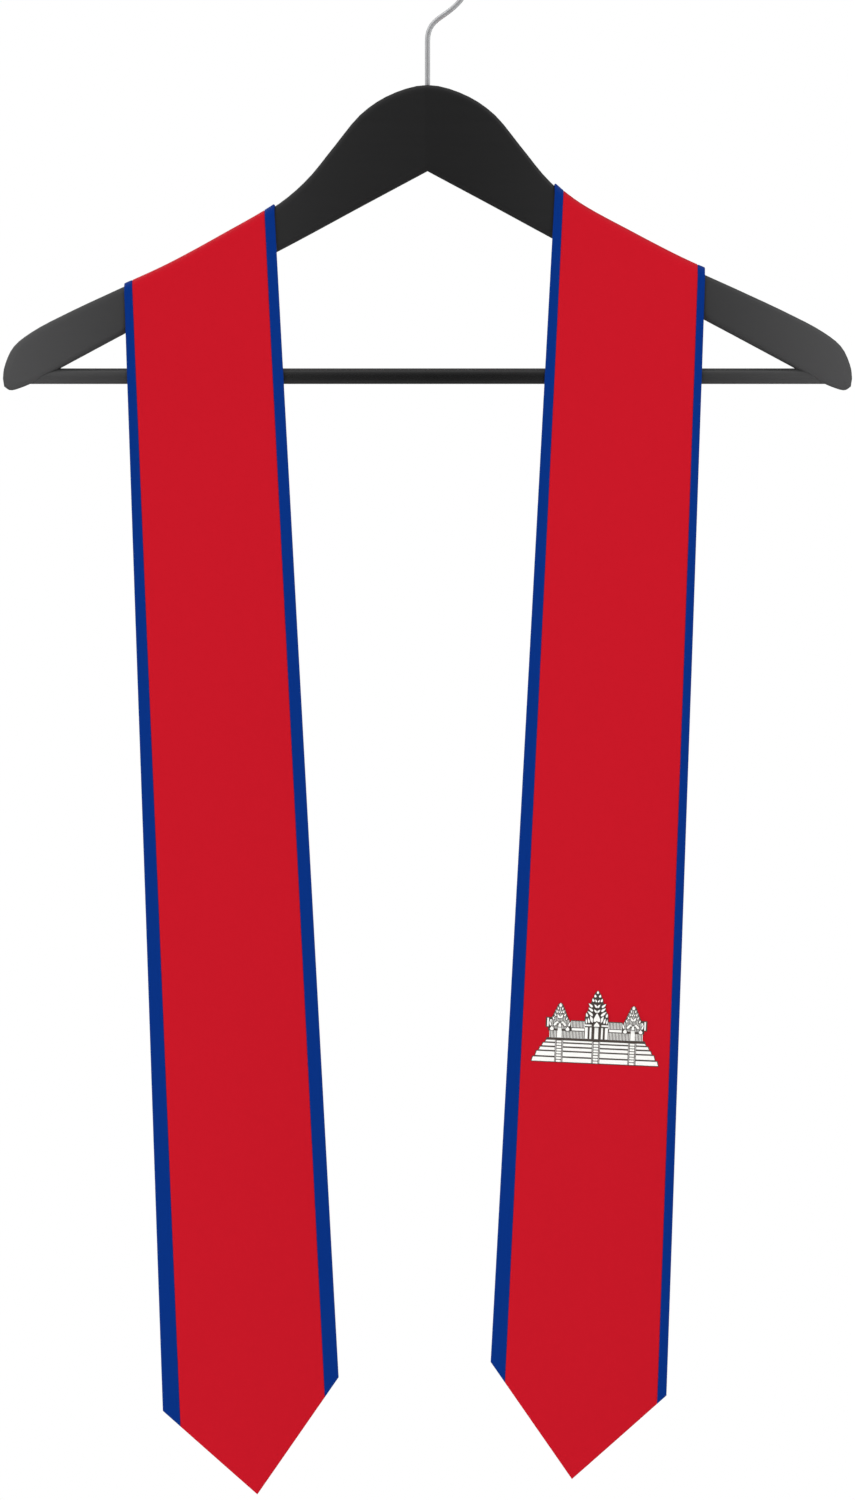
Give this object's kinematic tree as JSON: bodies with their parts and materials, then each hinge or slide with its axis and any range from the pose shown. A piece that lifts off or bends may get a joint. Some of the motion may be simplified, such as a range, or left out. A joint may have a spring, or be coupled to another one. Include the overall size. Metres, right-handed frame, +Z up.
{
  "type": "graduation stole on a coat hanger",
  "caption": "Red graduation stole with blue edge trims, pointed ends and a white temple emblem, hanging over a black wooden coat hanger with a bar and a wire hook",
  "frame": {"origin": "inside top of the hook's round, where the hanger rests on a rail, in the middle plane", "axes": "+Z up, -Y towards the viewer of the front, +X to the viewer's right along the hanger's span"},
  "size_m": [0.5, 0.0353, 0.9207],
  "materials": {
    "hanger_paint": "black satin paint on wood",
    "hook_chrome": "chromed steel wire",
    "satin_red": "matte red satin, doubled and stiffened",
    "trim_blue": "matte blue satin band",
    "emblem_white": "white printed and stitched patch"
  },
  "bodies": {
    "root": {"hanger_body": "hanger_paint", "hanger_bar": "hanger_paint", "hanger_hook": "hook_chrome", "left_panel": "satin_red", "right_panel": "satin_red", "left_outer_trim": "trim_blue", "left_inner_trim": "trim_blue", "right_outer_trim": "trim_blue", "right_inner_trim": "trim_blue", "emblem": "emblem_white"}
  },
  "joints": []
}
